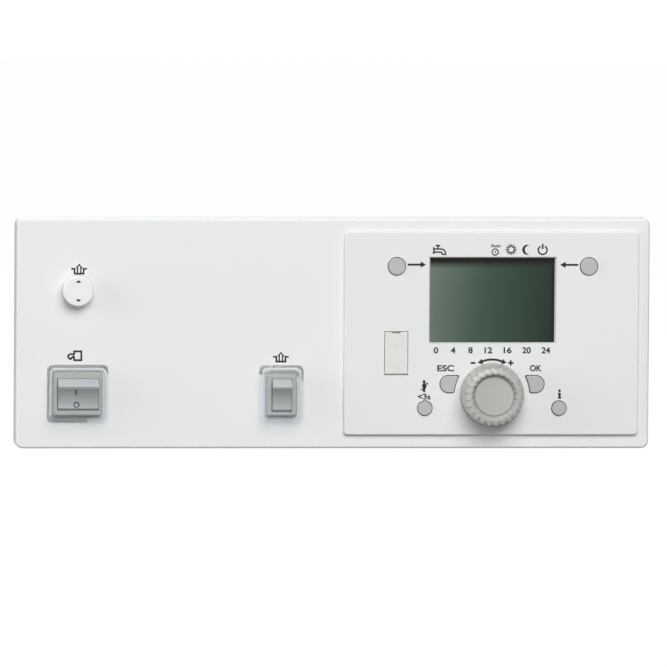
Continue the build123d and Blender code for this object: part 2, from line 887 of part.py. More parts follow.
skirt_top = knob_back + knob_skirt_height
grip_height = knob_front - skirt_top
waist_level = skirt_top + knob_waist_share * grip_height
waist_radius = knob_shoulder_radius + knob_shoulder_lean
shoulder_level = knob_front - knob_shoulder_drop
base_crest = knob_skirt_radius - knob_ridge_start
knob_levels = [
    (skirt_top, base_crest, base_crest - knob_ridge_start / 2, 0),
    (waist_level, waist_radius, waist_radius - knob_tooth_depth, knob_waist_turn),
    (
        shoulder_level,
        knob_shoulder_radius,
        knob_shoulder_radius - knob_tooth_depth,
        knob_shoulder_turn,
    ),
    (knob_front, knob_rim_radius, knob_rim_radius - knob_tooth_depth / 2, 1),
]
with BuildPart() as control_knob:
    disc(knob_back, skirt_top, knob_skirt_radius, knob_at)
    rings = [
        toothed_ring(level, crest, root, knob_twist * share).face()
        for level, crest, root, share in knob_levels
    ]
    loft(rings, ruled=True)
    well_rings = [
        toothed_ring(level, crest, crest - depth, knob_twist).face()
        for level, crest, depth in (
            (knob_front - knob_well_depth, knob_well_floor_radius, knob_floor_tooth_depth),
            (knob_front, knob_well_radius, knob_well_tooth_depth),
        )
    ]
    loft(well_rings, ruled=True, mode=Mode.SUBTRACT)
    hollow_front = knob_front - knob_well_depth - knob_wall
    hollow_radius = knob_well_floor_radius + knob_wall
    with BuildSketch(Plane.XZ.offset(knob_back)) as hollow_outline:
        with Locations(knob_at):
            Circle(hollow_radius)
            Circle(knob_hub_radius, mode=Mode.SUBTRACT)
    extrude(hollow_outline.sketch, amount=hollow_front - knob_back, mode=Mode.SUBTRACT)
    hub_back = bush_front + knob_gap
    disc(knob_back, hub_back, hollow_radius, knob_at, mode=Mode.SUBTRACT)
    with BuildSketch(Plane.XZ.offset(hub_back)) as bore_outline:
        with Locations(knob_at):
            Circle(shaft_radius + shaft_fit)
        with Locations((centre_x, flat_top + shaft_fit + shaft_radius)):
            Rectangle(3 * shaft_radius, 2 * shaft_radius, mode=Mode.SUBTRACT)
    bore_depth = shaft_front + shaft_fit - hub_back
    extrude(bore_outline.sketch, amount=bore_depth, mode=Mode.SUBTRACT)
save(control_knob.part, "control_knob")

with BuildPart() as knob_disc:
    disc_back = knob_front - knob_well_depth
    disc_radius = knob_well_floor_radius - knob_disc_play
    disc(disc_back, disc_back + knob_disc_thickness, disc_radius, knob_at)
    fillet_front(disc_back + knob_disc_thickness, knob_disc_thickness / 2)
save(knob_disc.part, "knob_disc")

# Service flap, hinged on two pins at its lower edge
with BuildPart() as service_flap:
    with BuildSketch(Plane.YZ.offset(flap_at[0] - flap_width / 2)) as flap_side:
        with Locations((-flap_axis_level, flap_axis_z)):
            Circle(flap_round)
        flap_rise = flap_top - flap_axis_z
        with Locations((-flap_axis_level, flap_axis_z + flap_rise / 2)):
            Rectangle(flap_thickness, flap_rise)
    extrude(flap_side.sketch, amount=flap_width)
    notch_at = (flap_at[0], flap_top - flap_notch_depth / 2)
    block(
        unit_face - flap_thickness,
        unit_face,
        flap_notch_width,
        flap_notch_depth,
        notch_at,
        mode=Mode.SUBTRACT,
    )
    pin_end = flap_width / 2 + flap_pin_length
    left_pin = flap_at[0] - pin_end
    cross_pin(left_pin, flap_at[0] + pin_end, flap_axis_level, flap_axis_z, flap_pin_radius)
save(service_flap.part, "service_flap")


# Rocker switches
def rocker_plane(switch):
    """Plane across a rocker at its rest tilt, on its pivot: local x points out of its face."""
    tilt = radians(rocker_tilt)
    out = (0, -cos(tilt), -sin(tilt))
    origin = (switch.x, -rocker_pivot_level, switch.z)
    return Plane(origin=origin, x_dir=out, z_dir=(-1, 0, 0))


def pole_plane(switch, pole_x, reach):
    """Plane square to the rocker's face, at a reach from its pivot, in line with one pole."""
    plane = rocker_plane(switch)
    origin = plane.from_local_coords(Vector(reach, 0, switch.x - pole_x))
    return Plane(origin=origin, x_dir=(1, 0, 0), z_dir=plane.x_dir)


def make_boot(switch, name):
    """Clear splash boot: a flange that the bezel clamps, and a dome over the rocker."""
    at = (switch.x, switch.z)
    inside_width = switch.dome_width - 2 * boot_wall
    inside_depth = switch.dome_depth - 2 * boot_wall
    inside_top = boot_top - boot_skin
    with BuildPart() as inside:
        slab(bezel_back, inside_top, inside_width, inside_depth, boot_corner - boot_wall, at)
        fillet_front(inside_top, boot_edge - boot_skin)
    with BuildPart() as boot:
        slab(bezel_back, boot_top, switch.dome_width, switch.dome_depth, boot_corner, at)
        fillet_front(boot_top, boot_edge)
        slab(face, bezel_back, switch.boot_width, switch.boot_depth, boot_corner, at)
        add(inside.part, mode=Mode.SUBTRACT)
        hole_width = switch.body_width + 2 * boot_fit
        hole_height = switch.body_height + 2 * boot_fit
        block(face, bezel_back, hole_width, hole_height, at, mode=Mode.SUBTRACT)
    save(boot.part, f"{name}_boot")


def make_frame(switch, name):
    """Bezel and body in one moulding, open at the rear, with bearings for the rocker."""
    at = (switch.x, switch.z)
    with BuildPart() as frame:
        width = switch.bezel_width
        height = switch.bezel_height
        slab(bezel_back, bezel_slope_level, width, height, bezel_corner, at)
        with BuildSketch(Plane.XZ.offset(bezel_slope_level)) as slope:
            with Locations(at):
                RectangleRounded(width, height, bezel_corner)
        slope_angle = degrees(atan(bezel_slope_width / bezel_slope_height))
        extrude(slope.sketch, amount=bezel_slope_height, taper=slope_angle)
        block(switch_back, bezel_back, switch.body_width, switch.body_height, at)
        snap_front = panel_back - switch_fit
        snap_span = switch.body_height + 2 * snap_proud
        block(snap_front - snap_height, snap_front, snap_width, snap_span, at)
        snap_edges = edges_at(snap_front - snap_height).filter_by(Axis.X).group_by(Axis.Z)
        chamfer(snap_edges[0] + snap_edges[-1], snap_chamfer)
        room_width = switch.opening_width
        room_height = 2 * switch.cavity_radius
        block(switch_back, rocker_pivot_level, room_width, room_height, at, mode=Mode.SUBTRACT)
        left = switch.x - room_width / 2
        right = switch.x + room_width / 2
        cross_pin(left, right, rocker_pivot_level, switch.z, switch.cavity_radius, Mode.SUBTRACT)
        lug_room = rocker_lug_length + rocker_lug_play
        cross_pin(
            left - lug_room,
            right + lug_room,
            rocker_pivot_level,
            switch.z,
            rocker_lug_radius + rocker_lug_play,
            Mode.SUBTRACT,
        )
    save(frame.part, f"{name}_frame")


def make_rocker(switch, name):
    """Rocker with a hollowed face, two lugs, and a post that holds each pole's spring."""
    half = radians(rocker_half_angle)
    back = radians(rocker_back_angle)
    middle = (half + back) / 2
    radius = switch.rocker_radius
    crest_x, crest_y = radius * cos(half), radius * sin(half)
    side_x, side_y = radius * cos(middle), radius * sin(middle)
    heel_x, heel_y = radius * cos(back), radius * sin(back)
    post_back = heel_x - rocker_post_length
    bore_depth = rocker_post_length + 2 * rocker_hollow
    with BuildPart() as rocker:
        with BuildSketch(rocker_plane(switch)) as profile:
            with BuildLine():
                ThreePointArc(
                    (crest_x, -crest_y), (crest_x - rocker_hollow, 0), (crest_x, crest_y)
                )
                ThreePointArc((crest_x, crest_y), (side_x, side_y), (heel_x, heel_y))
                Line((heel_x, heel_y), (heel_x, -heel_y))
                ThreePointArc((heel_x, -heel_y), (side_x, -side_y), (crest_x, -crest_y))
            make_face()
        extrude(profile.sketch, amount=switch.rocker_width / 2, both=True)
        with BuildSketch(rocker_plane(switch)) as lug:
            Circle(rocker_lug_radius)
        extrude(lug.sketch, amount=switch.opening_width / 2 + rocker_lug_length, both=True)
        for pole_x, pole_z in switch.poles:
            with BuildSketch(pole_plane(switch, pole_x, post_back)) as post:
                Circle(rocker_post_radius)
            extrude(post.sketch, amount=rocker_post_length + rocker_hollow)
            with BuildSketch(pole_plane(switch, pole_x, post_back)) as bore:
                Circle(spring_bore_radius)
            extrude(bore.sketch, amount=bore_depth, mode=Mode.SUBTRACT)
    save(rocker.part, f"{name}_rocker")

    collar_back = post_back + spring_seat_depth - spring_seat_height
    with BuildPart() as plungers:
        for pole_x, pole_z in switch.poles:
            with BuildSketch(pole_plane(switch, pole_x, -switch_plunger_reach)) as stem:
                Circle(switch_plunger_radius)
            extrude(stem.sketch, amount=collar_back + switch_plunger_reach)
            with BuildSketch(pole_plane(switch, pole_x, collar_back)) as collar:
                Circle(spring_bore_radius - switch_fit)
            extrude(collar.sketch, amount=spring_seat_height)
        tips = edges().filter_by(GeomType.CIRCLE).group_by(Axis.Y)[-1]
        fillet(tips, switch_plunger_tip)
    save(plungers.part, f"{name}_plunger")

    spring_start = post_back + spring_seat_depth + switch_spring_wire
    spring_length = post_back + bore_depth - switch_spring_wire - spring_start
    with BuildPart() as springs:
        for pole_x, pole_z in switch.poles:
            start = pole_plane(switch, pole_x, spring_start)
            coil(
                start.origin,
                start.z_dir,
                switch_spring_radius,
                switch_spring_wire,
                switch_spring_turns,
                spring_length,
            )
    save(springs.part, f"{name}_spring")


def make_contacts(switch, name):
    """See-saw contact arms at their rest tilt, the blades under them, and the base."""
    tilt = radians(contact_arm_tilt)
    arm_half = contact_arm_thickness / 2
    rivet_front = arm_half + contact_rivet_height
    stop_level = (
        contact_level - contact_arm_reach * sin(tilt) - rivet_front * cos(tilt) - contact_gap
    )
    knife_level = contact_level - arm_half - blade_thickness / 2 * sin(tilt) - rocker_lug_play
    with BuildPart() as arms:
        for pole_x, pole_z in switch.poles:
            arm_plane = Plane(
                origin=(pole_x, -contact_level, pole_z),
                x_dir=(1, 0, 0),
                z_dir=(0, -cos(tilt), sin(tilt)),
            )
            with BuildSketch(arm_plane) as arm:
                Rectangle(contact_arm_width, 2 * contact_arm_reach)
            extrude(arm.sketch, amount=arm_half, both=True)
            with BuildSketch(arm_plane) as rivet:
                with Locations((0, contact_rivet_inset - contact_arm_reach)):
                    Circle(contact_rivet_radius)
            extrude(rivet.sketch, amount=-rivet_front)
            for side in (-1, 1):
                edge_x = pole_x + side * contact_arm_width / 2
                lug_x = edge_x + side * contact_lug_length
                lug_ends = sorted((edge_x, lug_x))
                cross_pin(*lug_ends, contact_level, pole_z, contact_lug_radius)
    save(arms.part, f"{name}_contact_arm")

    blade_back = switch_back - blade_length
    middle_blades = switch.poles
    contact_blades = [(x, z - blade_spacing) for x, z in switch.poles]
    with BuildPart() as blades:
        block(blade_back, knife_level, blade_width, blade_thickness, *middle_blades)
        block(blade_back, stop_level, blade_width, blade_thickness, *contact_blades)
    save(blades.part, f"{name}_terminals")

    with BuildPart() as base:
        at = (switch.x, switch.z)
        base_width = switch.opening_width - 2 * switch_fit
        base_height = 2 * switch.cavity_radius - 2 * switch_fit
        block(switch_back, base_front, base_width, base_height, at)
        stop_at = (switch.x, switch.z + blade_spacing)
        block(base_front, stop_level, base_width - 2 * switch_base, blade_thickness, stop_at)
        slot_width = blade_width + switch_fit
        slot_height = blade_thickness + switch_fit
        slots = middle_blades + contact_blades
        block(switch_back, base_front, slot_width, slot_height, *slots, mode=Mode.SUBTRACT)
    save(base.part, f"{name}_base")


for switch, name in ((main_switch, "main"), (test_switch, "test")):
    make_boot(switch, name)
    make_frame(switch, name)
    make_rocker(switch, name)
    make_contacts(switch, name)

# Safety limiter behind the panel, held by a round nut on its bush
chamber_roof = limiter_front - reset_chamber_roof
chamber_floor = chamber_roof - reset_chamber_depth
with BuildPart() as limiter_body:
    slab(
        limiter_back, limiter_front, limiter_width, limiter_height, limiter_corner, limiter_at
    )
    disc(limiter_front, limiter_bush_front, limiter_bush_radius, limiter_at)
    disc(chamber_floor, chamber_roof, reset_chamber_radius, limiter_at, mode=Mode.SUBTRACT)
    disc(chamber_roof, limiter_bush_front, limiter_bush_bore, limiter_at, mode=Mode.SUBTRACT)
save(limiter_body.part, "limiter_body")

nut_front = face + nut_thickness
with BuildPart() as limiter_nut:
    disc(face, nut_front, nut_radius, limiter_at)
    disc(face, nut_front, limiter_bush_radius + reset_play, limiter_at, mode=Mode.SUBTRACT)
    slot_back = face + nut_thickness / 2
    block(slot_back, nut_front, 2 * nut_radius, nut_slot, limiter_at, mode=Mode.SUBTRACT)
    block(slot_back, nut_front, nut_slot, 2 * nut_radius, limiter_at, mode=Mode.SUBTRACT)
save(limiter_nut.part, "limiter_nut")

gland_at = (limiter_x - limiter_width / 4, limiter_z + limiter_height / 4)
with BuildPart() as limiter_gland:
    disc(limiter_back - gland_length, limiter_back, gland_radius, gland_at)
    disc(limiter_back - gland_length, limiter_back, gland_bore, gland_at, mode=Mode.SUBTRACT)
save(limiter_gland.part, "limiter_gland")

tabs_at = grid((limiter_x, limiter_z - limiter_height / 4), tab_pitch, 0, 3, 1)
with BuildPart() as limiter_terminals:
    block(limiter_back - tab_length, limiter_back, tab_width, tab_thickness, *tabs_at)
save(limiter_terminals.part, "limiter_terminals")

collar_front_level = chamber_roof - reset_play
collar_back_level = collar_front_level - reset_collar_thickness
with BuildPart() as reset_pin:
    pin_front = limiter_bush_front + reset_pin_proud
    disc(collar_back_level, collar_front_level, reset_collar_radius, limiter_at)
    disc(collar_front_level, pin_front, reset_pin_radius, limiter_at)
    stem_back = collar_back_level - reset_stem_length
    disc(stem_back, collar_back_level, reset_stem_radius, limiter_at)
    fillet_front(pin_front, reset_pin_edge)
save(reset_pin.part, "reset_pin")

with BuildPart() as reset_spring:
    spring_from = chamber_floor + reset_spring_wire
    spring_length = collar_back_level - chamber_floor - 2 * reset_spring_wire
    coil(
        (limiter_x, -spring_from, limiter_z),
        (0, -1, 0),
        reset_spring_radius,
        reset_spring_wire,
        reset_spring_turns,
        spring_length,
    )
save(reset_spring.part, "reset_spring")

cap_back = face + cap_gap
cap_front = face + cap_proud
with BuildPart() as limiter_cap:
    disc(cap_back, cap_front, cap_radius, limiter_at)
    fillet_front(cap_front, cap_edge)
    bore_radius = limiter_bush_radius + cap_thread_fit
    disc(cap_back, cap_front - cap_face, bore_radius, limiter_at, mode=Mode.SUBTRACT)
    over_nut = nut_radius + cap_nut_clearance
    nut_room = nut_front + cap_gap
    disc(cap_back, nut_room, over_nut, limiter_at, mode=Mode.SUBTRACT)
    for side in (-1, 1):
        moon_z = limiter_z + side * cap_moon_offset
        with BuildSketch(Plane.XZ.offset(cap_front - cap_moon_depth)) as moon:
            with Locations((limiter_x, moon_z)):
                Circle(cap_moon_radius)
            with Locations((limiter_x, moon_z - side * cap_moon_radius)):
                Rectangle(3 * cap_moon_radius, 2 * cap_moon_radius, mode=Mode.SUBTRACT)
        extrude(moon.sketch, amount=cap_moon_depth, mode=Mode.SUBTRACT)
save(limiter_cap.part, "limiter_cap")

with BuildPart() as cap_seal:
    disc(face, cap_back, cap_radius - reset_play, limiter_at)
    disc(face, cap_back, cap_radius - seal_width, limiter_at, mode=Mode.SUBTRACT)
save(cap_seal.part, "cap_seal")
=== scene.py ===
"""Scene for the boiler control panel: studio, finishes, printed legends and camera."""

import json
import math

import bpy
from mathutils import Matrix, Vector
from mathutils.bvhtree import BVHTree


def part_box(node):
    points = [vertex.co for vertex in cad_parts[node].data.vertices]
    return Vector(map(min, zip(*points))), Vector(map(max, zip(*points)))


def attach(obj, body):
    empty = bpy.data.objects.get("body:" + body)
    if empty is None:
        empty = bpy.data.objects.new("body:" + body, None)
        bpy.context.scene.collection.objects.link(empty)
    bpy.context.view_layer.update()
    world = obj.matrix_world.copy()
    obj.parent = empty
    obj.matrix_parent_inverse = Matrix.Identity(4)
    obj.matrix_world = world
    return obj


bl_info = {
    "name": "Control Panel Scene",
    "version": (1, 0, 0),
    "blender": (4, 5, 0),
    "location": "View3D > Sidebar > Control Panel",
    "description": "Dresses the packed control panel and sets up its studio",
    "category": "3D View",
}

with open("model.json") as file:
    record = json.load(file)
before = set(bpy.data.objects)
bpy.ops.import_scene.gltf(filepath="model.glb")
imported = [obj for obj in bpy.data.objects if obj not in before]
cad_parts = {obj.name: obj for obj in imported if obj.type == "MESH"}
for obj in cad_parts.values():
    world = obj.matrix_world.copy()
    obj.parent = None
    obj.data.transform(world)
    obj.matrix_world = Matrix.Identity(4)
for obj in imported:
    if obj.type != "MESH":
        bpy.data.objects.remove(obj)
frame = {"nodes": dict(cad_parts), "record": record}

MM = 0.001
WHITE = (1.0, 1.0, 1.0)

# How far the printed faces stand in front of the origin, in millimetres
FASCIA_LEVEL = 14.0
UNIT_LEVEL = 16.0

# Studio: places in metres, the camera's two offsets as shares of its distance
FLOOR_LEVEL = -0.24
FLOOR_HALF_WIDTH = 6.0
CAMERA_TO_LEFT = 0.0925
CAMERA_RAISED = 0.0765
AIM_ACROSS = 0.0002
SENSOR_WIDTH = 36.0

# Printed marks: how deep the ink reaches into the surface, in millimetres
INK_FOOTING = 0.01


def colour_setting(name, description, default):
    return bpy.props.FloatVectorProperty(
        name=name, description=description, default=default, size=3, min=0.0, max=1.0, subtype="COLOR"
    )


def power_setting(name, description, default):
    return bpy.props.FloatProperty(
        name=name, description=description, default=default, min=0.0, unit="POWER"
    )


class PanelColours(bpy.types.PropertyGroup):
    """Colours of the panel's pieces and of its ink."""

    fascia: colour_setting("Fascia", "Colour of the long fascia moulding", (0.79, 0.805, 0.80))
    unit: colour_setting("Operator unit", "Colour of the operator unit's frame", (0.77, 0.785, 0.775))
    keys: colour_setting("Keys", "Colour of the round and D-shaped keys", (0.47, 0.475, 0.46))
    knob: colour_setting("Knob", "Colour of the control knob", (0.455, 0.462, 0.435))
    flap: colour_setting("Service flap", "Colour of the translucent service flap", (0.75, 0.74, 0.705))
    cap: colour_setting("Limiter cap", "Colour of the limiter's cap", (0.83, 0.84, 0.84))
    bezel: colour_setting("Switch bezels", "Colour of the two switch bezels", (0.44, 0.44, 0.42))
    rocker: colour_setting("Rockers", "Colour of the two rockers", (0.40, 0.41, 0.405))
    boot: colour_setting("Splash boots", "Tint of the clear splash boots", (0.88, 0.94, 1.0))
    # the display's fall from its lighter left end to its darker right end is a painted reflection
    display_light: colour_setting(
        "Display, left", "Display colour at its lighter left end", (0.169, 0.212, 0.176)
    )
    display_deep: colour_setting(
        "Display, right", "Display colour at its darker right end", (0.011, 0.026, 0.016)
    )
    ink: colour_setting("Ink", "Colour of the printed legends", (0.012, 0.012, 0.013))


class LegendSizes(bpy.types.PropertyGroup):
    """Sizes of the printed legends."""

    thickness: bpy.props.FloatProperty(
        name="Ink thickness",
        description="How far the ink stands on the surface",
        default=0.04 * MM,
        min=0.01 * MM,
        max=0.2 * MM,
        subtype="DISTANCE",
        unit="LENGTH",
        precision=6,
    )
    weight: bpy.props.FloatProperty(
        name="Line weight",
        description="Multiplies the width of every printed line",
        default=1.0,
        min=0.5,
        max=2.0,
        subtype="FACTOR",
    )


class StudioSettings(bpy.types.PropertyGroup):
    """Lights and camera."""

    key_power: power_setting("Key light", "Power of the large light above", 120.0)
    side_power: power_setting("Side light", "Power of the soft light at the left", 38.0)
    front_power: power_setting("Front light", "Power of the soft light by the camera", 6.0)
    back_power: power_setting("Back light", "Power of the soft light behind", 90.0)
    ambient: bpy.props.FloatProperty(
        name="Ambient light", description="Strength of the light from all around", default=0.03, min=0.0
    )
    camera_distance: bpy.props.FloatProperty(
        name="Camera distance",
        description="Distance of the camera in front of the panel",
        default=9.0,
        min=0.5,
        max=20.0,
        unit="LENGTH",
    )
    picture_width: bpy.props.FloatProperty(
        name="Picture width",
        description="Width that the picture takes in at the fascia",
        default=0.32527,
        min=0.1,
        max=2.0,
        unit="LENGTH",
    )


class Value:
    """A number in a shader; arithmetic on it adds Math nodes."""

    def __init__(self, nodes, socket):
        self.nodes = nodes
        self.socket = socket

    def math(self, operation, first, second=0.0, clamp=False):
        settings = {"operation": operation, "use_clamp": clamp}
        return self.nodes.value("ShaderNodeMath", settings, {0: first, 1: second})

    def __add__(self, other):
        return self.math("ADD", self, other)

    def __radd__(self, other):
        return self.math("ADD", other, self)

    def __sub__(self, other):
        return self.math("SUBTRACT", self, other)

    def __rsub__(self, other):
        return self.math("SUBTRACT", other, self)

    def __mul__(self, other):
        return self.math("MULTIPLY", self, other)

    def __rmul__(self, other):
        return self.math("MULTIPLY", other, self)

    def __truediv__(self, other):
        return self.math("DIVIDE", self, other)

    def __rtruediv__(self, other):
        return self.math("DIVIDE", other, self)

    def __mod__(self, other):
        return self.math("FLOORED_MODULO", self, other)

    def __rmod__(self, other):
        return self.math("FLOORED_MODULO", other, self)

    def __pow__(self, other):
        return self.math("POWER", self, other)

    def __rpow__(self, other):
        return self.math("POWER", other, self)

    def __abs__(self):
        return self.math("ABSOLUTE", self)

    def clamped(self):
        return self.math("ADD", self, 0.0, clamp=True)

    def larger(self, other):
        return self.math("MAXIMUM", self, other)

    def smaller(self, other):
        return self.math("MINIMUM", self, other)


class Nodes:
    """The shader nodes of one material or backdrop."""

    def __init__(self, tree):
        self.tree = tree
        self.tree.nodes.clear()

    def add(self, kind, settings=None, inputs=None):
        """Adds one node: its settings first, then the values or links of its sockets."""
        node = self.tree.nodes.new(kind)
        for key, setting in (settings or {}).items():
            if key == "stops":
                self.set_stops(node.color_ramp, setting)
            else:
                setattr(node, key, setting)
        for key, source in (inputs or {}).items():
            self.connect(source, node.inputs[key])
        return node

    def set_stops(self, ramp, stops):
        while len(ramp.elements) < len(stops):
            ramp.elements.new(1.0)
        for element, (position, colour) in zip(ramp.elements, stops):
            element.position = position
            element.color = (*colour, 1.0)

    def connect(self, source, socket):
        if isinstance(source, Value):
            source = source.socket
        if isinstance(source, bpy.types.NodeSocket):
            self.tree.links.new(source, socket)
        elif socket.type == "RGBA":
            socket.default_value = (*source[:3], 1.0)
        else:
            socket.default_value = source

    def value(self, kind, settings=None, inputs=None, output=0):
        """One output of a new node, as a number to calculate with."""
        return Value(self, self.add(kind, settings, inputs).outputs[output])


class Paint(Nodes):
    """A material with one principled shader, and the nodes that feed it."""

    def __init__(self, name):
        self.material = bpy.data.materials.new(name)
        self.material.use_nodes = True
        super().__init__(self.material.node_tree)
        self.output = self.add("ShaderNodeOutputMaterial")
        self.shader = self.add("ShaderNodeBsdfPrincipled")
        self.connect(self.shader.outputs[0], self.output.inputs["Surface"])
        self.place = self.add("ShaderNodeTexCoord").outputs["Object"]
        self.axes = None

    def set(self, **inputs):
        """Sets the principled shader's sockets, an underscore standing for a space."""
        for key, source in inputs.items():
            self.connect(source, self.shader.inputs[key.replace("_", " ")])

    def mix_shaders(self, factor, first, second):
        """Puts a mix of two shaders on the surface."""
        mixed = self.add("ShaderNodeMixShader", {}, {0: factor, 1: first, 2: second})
        self.connect(mixed.outputs[0], self.output.inputs["Surface"])

    def noise(self, scale, detail=2.0, stretch=(1.0, 1.0, 1.0)):
        """Noise from 0 to 1, in blotches per metre."""
        spread = self.add(
            "ShaderNodeVectorMath", {"operation": "MULTIPLY"}, {0: self.place, 1: stretch}
        ).outputs[0]
        inputs = {"Vector": spread, "Scale": scale, "Detail": detail, "Roughness": 0.5}
        return self.value("ShaderNodeTexNoise", {}, inputs)

    def position(self):
        """The place on the object in metres, as three numbers."""
        if self.axes is None:
            split = self.add("ShaderNodeSeparateXYZ", {}, {0: self.place})
            self.axes = tuple(Value(self, output) for output in split.outputs)
        return self.axes

    def blend(self, first, second, factor):
        """Mixes two colours."""
        settings = {"data_type": "RGBA", "clamp_factor": True}
        node = self.add("ShaderNodeMix", settings, {0: factor, 6: first, 7: second})
        return node.outputs[2]

    def spot(self, x, z, radius, softness):
        """1 inside a round spot seen from the front, falling to 0 over its soft edge."""
        across, _, up = self.position()
        distance = ((across - x * MM) ** 2.0 + (up - z * MM) ** 2.0) ** 0.5
        return ((radius * MM - distance) / (softness * MM)).clamped()

    def bump(self, height, depth):
        """Raises the surface by a height from 0 to 1, times a depth in millimetres."""
        inputs = {"Height": height, "Distance": depth * MM, "Strength": 1.0}
        self.set(Normal=self.add("ShaderNodeBump", {}, inputs).outputs[0])
        return self


def shade_of(colour, share):
    """A colour made darker or lighter by a share."""
    return tuple(min(1.0, part * share) for part in colour)


def moulded(name, colour, roughness=0.42, grain=0.012, mottle=0.02, coat=0.0):
    """Moulded plastic: a faint flow mottle, a fine eroded grain and slightly uneven gloss."""
    paint = Paint(name)
    cloud = paint.noise(14.0, 3.0)
    speckle = paint.noise(900.0, 1.0)
    tone = (cloud * 0.7 + speckle * 0.3 - 0.5) * 2.0 + 0.5
    grain_noise = paint.noise(2600.0, 2.0)
    paint.set(
        Base_Color=paint.blend(shade_of(colour, 1.0 - mottle), shade_of(colour, 1.0 + mottle), tone),
        Roughness=(cloud - 0.5) * 0.12 + (grain_noise - 0.5) * 0.10 + roughness,
        Coat_Weight=coat,
        Coat_Roughness=0.2,
    )
    return paint.bump(grain_noise, grain)


def rocker_paint(colour):
    """Rocker: painted highlight above its crest and painted shade just under it, standing in for the light
    from above.
    """
    paint = moulded("rocker_grey", colour, roughness=0.36, mottle=0.03, coat=0.2)
    up = paint.position()[2]
    crest = -26.5
    lower_half = 9.9
    crest_edge = 0.6
    # painted shade just under the crest, fading out towards the bottom
    shade_fade = ((crest * MM - up) / (lower_half * MM)).clamped()
    # painted highlight above the crest
    above = ((up - crest * MM) / (crest_edge * MM) + 0.5).clamped()
    cloud = paint.noise(500.0, 2.0) * 0.1
    under_crest_shade = paint.blend(shade_of(colour, 0.66), shade_of(colour, 1.0), shade_fade + cloud)
    paint.set(Base_Color=paint.blend(under_crest_shade, shade_of(colour, 1.22), above))
    return paint


def metal(name, colour, roughness, brushed=(1.0, 1.0, 12.0)):
    """Plated or drawn metal: fine scratches along its length and patches of duller plating."""
    paint = Paint(name)
    scratches = paint.noise(1800.0, 3.0, stretch=brushed)
    patches = paint.noise(120.0, 3.0)
    paint.set(
        Base_Color=paint.blend(shade_of(colour, 0.82), colour, patches * 0.7 + scratches * 0.3),
        Metallic=1.0,
        Roughness=(patches - 0.5) * 0.2 + (scratches - 0.5) * 0.15 + roughness,
    )
    return paint.bump(scratches, 0.01)


def circuit_board_paint():
    """Solder mask over copper tracks that show through as lighter lines."""
    paint = Paint("board_green")
    across, _, up = paint.position()
    wander = (paint.noise(60.0, 1.0) - 0.5) * 4.0
    tracks = abs(((across * 420.0 + wander) % 1.0) - 0.5)
    rails = abs(((up * 360.0 + wander) % 1.0) - 0.5)
    copper = ((tracks.smaller(rails) - 0.12) * -14.0).clamped()
    weave = paint.noise(700.0, 2.0)
    mask = paint.blend((0.018, 0.105, 0.045), (0.045, 0.20, 0.085), copper)
    paint.set(
        Base_Color=paint.blend(mask, (0.03, 0.15, 0.06), weave * 0.5),
        Roughness=weave * 0.1 + 0.25,
        Coat_Weight=0.5,
        Coat_Roughness=0.15,
    )
    return paint.bump(copper + weave * 0.2, 0.03)


def display_paint(colours):
    """Unlit display: green-grey, with a painted reflection that leaves it lighter at the left and deeper
    to the right, and painted shadow along its top and right edge.
    """
    paint = Paint("display_glass")
    across, _, up = paint.position()
    left, right, foot, head = 47.0, 106.9, -5.0, 33.4
    right_shade, head_shade = 1.6, 3.4
    middle = (0.050, 0.092, 0.065)
    # painted reflection: lighter at the left, deeper to the right and a little deeper towards the bottom
    reflection_fade = ((across - left * MM) / ((right - left) * MM)).clamped()
    drop = ((head * MM - up) / ((head - foot) * MM)).clamped()
    depth = (reflection_fade ** 0.8) * 0.9 + drop * 0.1
    stops = [(0.0, colours.display_light), (0.5, middle), (1.0, colours.display_deep)]
    cell = paint.add("ShaderNodeValToRGB", {"stops": stops}, {0: depth}).outputs[0]
    cloud = paint.noise(45.0, 2.0)
    # painted shadow of the window's top and right walls, dark along the display's top and right edge
    right_edge_shadow = ((across - right * MM) / (right_shade * MM) + 0.5).clamped()
    top_edge_shadow = ((up - head * MM) / (head_shade * MM) + 0.5).clamped()
    clouded_cell = paint.blend(cell, (0.05, 0.08, 0.06), cloud * 0.12)
    paint.set(
        Base_Color=paint.blend(clouded_cell, (0.018, 0.016, 0.016), right_edge_shadow.larger(top_edge_shadow)),
        Roughness=cloud * 0.05 + 0.14,
        Coat_Weight=0.3,
        Coat_Roughness=0.05,
    )
    return paint.bump(cloud, 0.01)


def flap_paint(colour):
    """Translucent flap: milky, with two faint painted shadows of what stands behind it."""
    paint = Paint("flap_translucent")
    milk = paint.noise(160.0, 3.0)
    grain = paint.noise(2200.0, 1.0)
    # painted shadows of the parts behind the flap
    behind = paint.spot(30.6, -6.1, 1.6, 1.5).larger(paint.spot(30.3, -14.9, 1.6, 1.5))
    tinted = paint.blend(shade_of(colour, 0.97), shade_of(colour, 1.04), milk)
    paint.set(
        Base_Color=paint.blend(tinted, shade_of(colour, 0.86), behind * 0.6),
        Roughness=milk * 0.1 + 0.34,
        Subsurface_Weight=0.15,
        Subsurface_Scale=0.0006,
    )
    return paint.bump(grain, 0.008)


